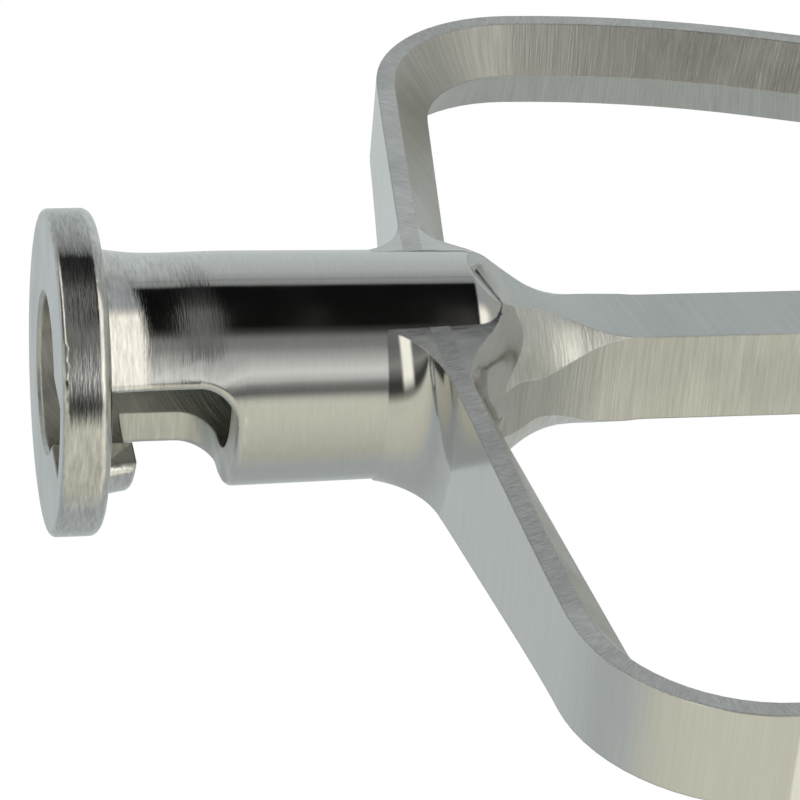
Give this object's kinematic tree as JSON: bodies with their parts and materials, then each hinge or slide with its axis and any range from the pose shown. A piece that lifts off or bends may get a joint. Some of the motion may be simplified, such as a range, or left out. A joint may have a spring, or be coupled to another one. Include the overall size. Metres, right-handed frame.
{
  "type": "stand mixer flat beater",
  "caption": "Cast flat beater for a stand mixer: bored bayonet hub with a flange and lock window, square spine, looped V-ribbed frame that tapers out of the hub.",
  "frame": {"origin": "centre of the shaft bore's mouth, on the flange's outer face", "axes": "+Z along the shaft bore, out of its mouth; X across the frame, with the pin entry towards -X; Y square to the frame, with its front face towards -Y and the lock window towards +Y"},
  "size_m": [0.1084, 0.0264, 0.134],
  "materials": {
    "beater_metal": "cast, ground and polished"
  },
  "bodies": {
    "root": {"flat_beater": "beater_metal"}
  },
  "joints": []
}
